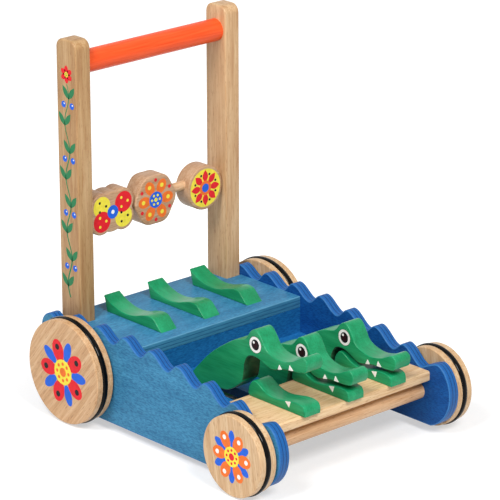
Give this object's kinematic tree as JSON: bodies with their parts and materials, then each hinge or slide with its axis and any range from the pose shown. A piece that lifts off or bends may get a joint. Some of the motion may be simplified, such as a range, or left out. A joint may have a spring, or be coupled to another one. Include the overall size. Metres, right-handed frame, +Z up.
{
  "type": "toddler push toy",
  "caption": "Wooden toddler push toy with wave-edged side panels on rubber-ringed wheels, a handle frame with turning blocks, and cam-lifted gator heads that chomp as it rolls.",
  "frame": {"origin": "on the ground, at the middle of the toy's length and width", "axes": "+Z up, front of the toy along -Y, the toy's left along -X, axles along X"},
  "size_m": [0.3646, 0.4535, 0.495],
  "materials": {
    "blue_plywood": "translucent blue stain on birch plywood, satin",
    "natural_wood": "clear satin lacquer on rubberwood",
    "post_wood": "clear satin lacquer on rubberwood",
    "wheel_wood": "clear satin lacquer on plywood, printed outer face",
    "spinner_wood": "clear satin lacquer, printed faces",
    "green_wood": "green stain, satin, printed eyes and teeth",
    "orange_wood": "orange paint, satin",
    "tyre_rubber": "black rubber ring",
    "washer_plastic": "moulded",
    "bolt_steel": "zinc plated"
  },
  "bodies": {
    "frame": {"left_side_panel": "blue_plywood", "right_side_panel": "blue_plywood", "deck": "blue_plywood", "front_wall": "blue_plywood", "floor_panel": "blue_plywood", "back_panel": "blue_plywood", "jaw_board": "natural_wood", "left_post": "post_wood", "right_post": "post_wood", "handle_bar": "orange_wood", "spinner_rod": "natural_wood", "left_tail": "green_wood", "middle_tail": "green_wood", "right_tail": "green_wood", "left_jaw": "green_wood", "middle_jaw": "green_wood", "right_jaw": "green_wood", "pivot_rod": "natural_wood", "pivot_sleeves": "natural_wood", "panel_dowels": "natural_wood", "post_bolts": "bolt_steel"},
    "rear_axle": {"rear_axle": "natural_wood", "left_rear_wheel": "wheel_wood", "right_rear_wheel": "wheel_wood", "left_rear_tyre": "tyre_rubber", "right_rear_tyre": "tyre_rubber", "left_cam": "natural_wood", "middle_cam": "natural_wood", "right_cam": "natural_wood", "rear_washers": "washer_plastic"},
    "front_axle": {"front_axle": "natural_wood", "left_front_wheel": "wheel_wood", "right_front_wheel": "wheel_wood", "left_front_tyre": "tyre_rubber", "right_front_tyre": "tyre_rubber", "front_washers": "washer_plastic"},
    "left_gator": {"left_gator": "green_wood"},
    "middle_gator": {"middle_gator": "green_wood"},
    "right_gator": {"right_gator": "green_wood"},
    "left_spinner": {"left_spinner": "spinner_wood"},
    "middle_spinner": {"middle_spinner": "spinner_wood"},
    "right_spinner": {"right_spinner": "spinner_wood"}
  },
  "joints": [
    {"name": "rear_axle_spin", "type": "hinge", "parent": "frame", "child": "rear_axle", "pos_m": [0, 0.14985, 0.0708], "axis": [1, 0, 0], "continuous": true},
    {"name": "front_axle_spin", "type": "hinge", "parent": "frame", "child": "front_axle", "pos_m": [0, -0.17095, 0.0539], "axis": [1, 0, 0], "continuous": true},
    {"name": "left_gator_chomp", "type": "hinge", "parent": "frame", "child": "left_gator", "pos_m": [-0.0715, 0.18515, 0.0906], "axis": [-1, 0, 0], "range_deg": [-6.1, 0]},
    {"name": "middle_gator_chomp", "type": "hinge", "parent": "frame", "child": "middle_gator", "pos_m": [0.0025, 0.18515, 0.0906], "axis": [-1, 0, 0], "range_deg": [-0.8, 5.3]},
    {"name": "right_gator_chomp", "type": "hinge", "parent": "frame", "child": "right_gator", "pos_m": [0.0765, 0.18515, 0.0906], "axis": [-1, 0, 0], "range_deg": [-0.8, 5.3]},
    {"name": "left_spinner_spin", "type": "hinge", "parent": "frame", "child": "left_spinner", "pos_m": [-0.0764, 0.18515, 0.2605], "axis": [1, 0, 0], "continuous": true},
    {"name": "middle_spinner_spin", "type": "hinge", "parent": "frame", "child": "middle_spinner", "pos_m": [-0.0034, 0.18515, 0.2605], "axis": [1, 0, 0], "continuous": true},
    {"name": "right_spinner_spin", "type": "hinge", "parent": "frame", "child": "right_spinner", "pos_m": [0.0826, 0.18515, 0.2605], "axis": [1, 0, 0], "continuous": true}
  ]
}
